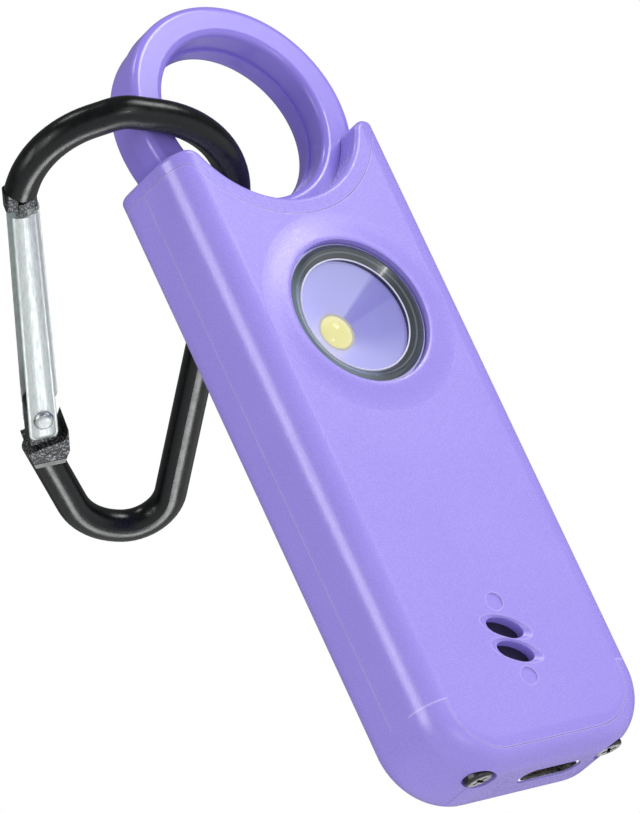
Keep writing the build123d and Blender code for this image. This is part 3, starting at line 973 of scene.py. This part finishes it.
def dress(node: str, material: bpy.types.Material) -> None:
    """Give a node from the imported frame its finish.

    Args:
        node: The node's name.
        material: Its finish.
    """
    piece = FRAME["nodes"][node]
    piece.data.materials.clear()
    piece.data.materials.append(material)
    for face in piece.data.polygons:
        face.material_index = 0
    Bench.only(piece)
    bpy.ops.object.shade_smooth_by_angle(angle=math.radians(SMOOTH_NODE))
    Bench.clear()
    LOG.info("dressed %s in %s", node, material.name)


@dataclass
class Housing:
    """Covers, end caps and screws."""

    covers: tuple[str, ...] = ("front_cover", "rear_shell")

    def build(self) -> None:
        """Dress the shell's pieces."""
        moulded = MouldedCase().make()
        for node in self.covers:
            dress(node, moulded)
        dress("bottom_cap", MouldedCase("end_lilac", parted=False).make())
        dress("top_cap", SaddlePlastic().make())
        dress("bottom_screws", Metal("screw_nickel", (0.07, 0.07, 0.075), 0.3).make())
        dress("dust_mesh", WovenMesh().make())


@dataclass
class PullRing:
    """The ring and its plug."""

    colour: Colour = srgb(149, 133, 230)

    def build(self) -> None:
        """Dress the ring's pieces."""
        finish = SmoothPlastic("ring_lilac", self.colour, 0.2).make()
        for node in ("ring_front_half", "ring_rear_half", "trigger_plug"):
            dress(node, finish)


@dataclass
class Lamp:
    """Lens, funnel and lamp chip, with a thin seat ring round the window whose pale colour is a
    painted highlight.
    """

    seat_radius: float = 7.42 * MM
    seat_width: float = 0.2 * MM
    seat_depth: float = 0.16 * MM
    seat_front: float = -6.27 * MM
    seat_bevel: float = 0.08 * MM
    segments: int = 128

    def seat(self) -> bpy.types.Object:
        """Model the thin bright ring that the window sits against; its brightness is a painted
        highlight.

        Returns:
            The ring.
        """
        Bench.clear()
        bpy.ops.mesh.primitive_circle_add(vertices=self.segments, radius=self.seat_radius,
                                          location=(0.0, self.seat_front, -LENS_DROP * MM),
                                          rotation=(math.pi / 2, 0.0, 0.0))
        piece = bpy.context.object
        bpy.ops.object.transform_apply(location=False, rotation=True, scale=True)
        bpy.ops.object.mode_set(mode="EDIT")
        bpy.ops.mesh.select_all(action="SELECT")
        bpy.ops.mesh.extrude_region_move(
            TRANSFORM_OT_translate={"value": (0.0, self.seat_depth, 0.0)})
        bpy.ops.object.mode_set(mode="OBJECT")
        wall = piece.modifiers.new("wall", "SOLIDIFY")
        wall.thickness = self.seat_width
        wall.offset = 0.0
        Bench.bevel(piece, self.seat_bevel)
        # Painted highlight: a pale ring standing in for light caught by the window's chamfered
        # edge.
        bright = SmoothPlastic("seat_painted_highlight", (0.70, 0.69, 0.86), 0.2)
        return Bench.settle(piece, "lens_seat", bright.make())

    def build(self) -> None:
        """Dress the lamp and add its seat."""
        dress("lens_ring", SmokedRim().make())
        dress("lens_window", ClearWindow().make())
        dress("reflector_cone", Reflector().make())
        # Painted light: the cream package and the gel shine by emission that stands in for light
        # reaching into the cup.
        cream, gel = srgb(232, 226, 206), srgb(252, 244, 160)
        dress("led_package", SmoothPlastic("lamp_cream", cream, 0.3, painted_glow=0.25).make())
        dress("led_dome", SmoothPlastic("lamp_gel", gel, 0.18, painted_glow=0.7).make())
        seat = self.seat()
        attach(seat, Body.CASE.value)
        LOG.info("added %s", seat.name)


@dataclass
class Socket:
    """The charging socket with its gold contacts."""

    centre_x: float = 2.0 * MM
    centre_y: float = -0.6 * MM
    plate_half: float = 0.35 * MM
    low: float = -86.5 * MM
    length: float = 4.0 * MM
    contact_width: float = 0.28 * MM
    contact_thickness: float = 0.06 * MM
    contact_bevel: float = 0.024 * MM
    pitch: float = 0.5 * MM
    count: int = 12

    def contact(self, x: float, side: int) -> bpy.types.Object:
        """Model one contact strip with softened edges.

        Args:
            x: Its place across the tongue.
            side: 1 for the rear face of the tongue, -1 for the front.

        Returns:
            The strip.
        """
        Bench.clear()
        y = self.centre_y + side * (self.plate_half + self.contact_thickness / 2)
        size = (self.contact_width, self.contact_thickness, self.length)
        bpy.ops.mesh.primitive_cube_add(size=1.0, location=(x, y, self.low + self.length / 2),
                                        scale=size)
        piece = bpy.context.object
        bpy.ops.object.transform_apply(location=True, rotation=True, scale=True)
        bpy.ops.object.mode_set(mode="EDIT")
        bpy.ops.mesh.select_all(action="SELECT")
        bpy.ops.mesh.bevel(offset=self.contact_bevel, segments=2, affect="EDGES")
        bpy.ops.object.mode_set(mode="OBJECT")
        return piece

    def build(self) -> None:
        """Dress the socket and add its contacts."""
        dress("usb_socket", Metal("socket_plated", (0.62, 0.62, 0.63), 0.22).make())
        dress("usb_tongue", SmoothPlastic("socket_black", (0.012, 0.012, 0.014), 0.4).make())
        strips = []
        for step in range(self.count):
            x = self.centre_x + (step - (self.count - 1) / 2) * self.pitch
            strips.extend(self.contact(x, side) for side in (-1, 1))
        Bench.only(strips[0])
        for strip in strips:
            strip.select_set(True)
        bpy.ops.object.join()
        gold = Metal("contact_gold", (0.80, 0.56, 0.20), 0.22)
        piece = Bench.settle(strips[0], "socket_contacts", gold.make())
        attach(piece, Body.CASE.value)
        LOG.info("added %s", piece.name)


@dataclass
class Clip:
    """The carabiner: black loop, bare gate, rivet and leaf spring."""

    def build(self) -> None:
        """Dress the clip's pieces."""
        dress("carabiner_frame", BlackWire().make())
        dress("carabiner_gate", GateSheet().make())
        dress("gate_rivet", Metal("rivet_aluminium", (0.52, 0.55, 0.56), 0.32).make())
        dress("gate_spring", Metal("spring_steel", (0.40, 0.41, 0.43), 0.3).make())


@dataclass
class Works:
    """Everything inside the case."""

    def build(self) -> None:
        """Dress the inner pieces."""
        dark = SmoothPlastic("works_black", (0.014, 0.014, 0.016), 0.5).make()
        lead = SmoothPlastic("lead_red", (0.36, 0.02, 0.02), 0.4).make()
        dress("circuit_board", BoardMask().make())
        for node in ("control_chips", "siren_chamber", "trigger_switch"):
            dress(node, dark)
        for node in ("battery_leads", "siren_leads"):
            dress(node, lead)
        dress("switch_plunger", SmoothPlastic("plunger_white", (0.74, 0.74, 0.72), 0.4).make())
        dress("boost_coil", Metal("coil_copper", (0.55, 0.22, 0.09), 0.35, (1.0, 40.0, 1.0)).make())
        dress("battery_cell", Metal("cell_foil", (0.62, 0.63, 0.65), 0.38).make())
        dress("battery_pad", SmoothPlastic("pad_foam", (0.03, 0.03, 0.033), 0.9).make())
        dress("siren_disc", Metal("disc_brass", (0.72, 0.52, 0.20), 0.3, (60.0, 1.0, 1.0)).make())
        dress("siren_ceramic", Metal("disc_silvered", (0.78, 0.76, 0.70), 0.42).make())


@dataclass(frozen=True)
class SoftBox:
    """One lamp: its place and size in metres, its power in watts, and what it reaches."""

    name: str
    place: Triple
    size: tuple[float, float]
    power: float
    in_gloss: bool = True
    in_diffuse: bool = True
    reach: Reach = Reach.ALL

    def hang(self, target: Vector) -> None:
        """Hang the lamp so that it faces the target.

        Args:
            target: The point that it faces.
        """
        data = bpy.data.lights.new(self.name, "AREA")
        data.shape = "RECTANGLE"
        data.size, data.size_y = self.size
        data.energy = self.power
        lamp = bpy.data.objects.new(self.name, data)
        turn = (target - Vector(self.place)).to_track_quat("-Z", "Y")
        lamp.matrix_world = Matrix.Translation(self.place) @ turn.to_matrix().to_4x4()
        lamp.visible_glossy = self.in_gloss
        lamp.visible_diffuse = self.in_diffuse
        if self.reach.value:
            group = bpy.data.collections.new(self.name)
            for node in self.reach.value:
                group.objects.link(FRAME["nodes"][node])
            lamp.light_linking.receiver_collection = group
            lamp.light_linking.blocker_collection = group
        bpy.context.scene.collection.objects.link(lamp)


@dataclass
class Studio:
    """Camera, lamps, white world and the floor.

    The camera's turn, a rotation vector, and its shift in mm were solved from the photograph
    with the lamp's centre as origin.
    """

    turn: Triple = (-1.9149687147, 0.2756588315, 0.7925364288)
    shift: Triple = (1.0367811, 7.8917504, 891.5732366)
    focal_pixels: float = 7553.518
    frame_height: int = 813
    sensor: float = 36.0
    nearest: float = 0.01
    farthest: float = 20.0
    floor_level: float = -0.42
    floor_radius: float = 2.5
    lamps: tuple[SoftBox, ...] = (
        SoftBox("key", (0.60, -0.95, 0.66), (0.5, 0.5), 8.4),
        SoftBox("fill", (0.95, -0.75, 0.1), (0.9, 0.9), 1.6, in_gloss=False),
        SoftBox("low", (-0.2, -0.875, -0.44), (0.25, 0.2), 2.2),
        SoftBox("side", (-1.0, -0.04, 0.22), (0.3, 0.6), 2.4, in_gloss=False),
        SoftBox("edge", (-1.0, -0.04, 0.22), (0.5, 0.6), 8.0, in_diffuse=False),
        SoftBox("top", (-0.25, -0.15, 1.0), (0.25, 0.25), 1.6),
        SoftBox("port_lip", (0.63, 0.72, -0.3), (0.5, 0.5), 1.3, reach=Reach.PLATED),
        SoftBox("wire_streak", (-0.03, 0.12, -0.385), (0.17, 0.17), 1.15,
                reach=Reach.WIRE),
        SoftBox("wire_arch", (-0.04, -1.0, -0.1), (0.3, 0.3), 0.75, reach=Reach.WIRE),
        SoftBox("gate_under", (0.03, 0.10, -0.41), (0.12, 0.3), 0.175, reach=Reach.GATE),
        SoftBox("gate_side", (0.77, 0.58, 0.0), (0.5, 0.5), 1.2, reach=Reach.GATE),
    )
    target: Triple = (0.0, 0.0, -0.04)
    world_light: float = 0.5
    world_gloss: float = 0.16

    def camera(self) -> None:
        """Stand the camera where the photograph was taken from."""
        vector = Vector(self.turn)
        matrix = Matrix.Rotation(vector.length, 3, vector.normalized())
        world = matrix.transposed()
        side, rise, away = self.shift
        place = world @ Vector((-side, -rise, away)) - Vector((0.0, 0.0, LENS_DROP))
        data = bpy.data.cameras.new("camera")
        data.sensor_width = self.sensor
        data.sensor_fit = "AUTO"
        data.lens = self.sensor * self.focal_pixels / self.frame_height
        data.clip_start = self.nearest
        data.clip_end = self.farthest
        camera = bpy.data.objects.new("camera", data)
        camera.matrix_world = Matrix.Translation(place * MM) @ world.to_4x4()
        bpy.context.scene.collection.objects.link(camera)
        bpy.context.scene.camera = camera

    def light(self) -> None:
        """Hang the soft boxes."""
        for lamp in self.lamps:
            lamp.hang(Vector(self.target))

    def world(self) -> None:
        """Make the world white where it is seen, and dimmer in light and in reflections."""
        world = bpy.data.worlds.new("studio")
        world.use_nodes = True
        bpy.context.scene.world = world
        tree = world.node_tree
        path = tree.nodes.new("ShaderNodeLightPath")
        seen = tree.nodes.new("ShaderNodeMath")
        seen.operation = "MAXIMUM"
        tree.links.new(path.outputs["Is Camera Ray"], seen.inputs[0])
        tree.links.new(path.outputs["Is Transmission Ray"], seen.inputs[1])
        lit = tree.nodes.new("ShaderNodeMapRange")
        lit.inputs["To Min"].default_value = self.world_light
        lit.inputs["To Max"].default_value = self.world_gloss
        tree.links.new(path.outputs["Is Glossy Ray"], lit.inputs["Value"])
        span = tree.nodes.new("ShaderNodeMapRange")
        span.inputs["To Max"].default_value = 1.0
        tree.links.new(lit.outputs[0], span.inputs["To Min"])
        tree.links.new(seen.outputs[0], span.inputs["Value"])
        back = tree.nodes["Background"]
        back.inputs["Color"].default_value = WHITE
        tree.links.new(span.outputs[0], back.inputs["Strength"])

    def floor(self) -> None:
        """Lay the floor well under the hanging alarm."""
        Bench.clear()
        bpy.ops.mesh.primitive_circle_add(vertices=96, radius=self.floor_radius,
                                          fill_type="NGON",
                                          location=(0.0, 0.0, self.floor_level))
        piece = Bench.settle(bpy.context.object, "floor", StudioFloor().make())

    def build(self) -> None:
        """Set up the whole studio."""
        bpy.context.scene.view_settings.view_transform = "Standard"
        self.camera()
        self.light()
        self.world()
        self.floor()


def main() -> None:
    """Build every sub-assembly in order."""
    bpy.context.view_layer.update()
    parts: Iterable[Any] = (Housing(), PullRing(), Lamp(), Socket(), Clip(), Works(), Studio())
    for part in parts:
        part.build()
        LOG.info("built %s", type(part).__name__)


if __name__ == "__main__":
    logging.basicConfig(level=logging.INFO)
    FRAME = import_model()
    main()
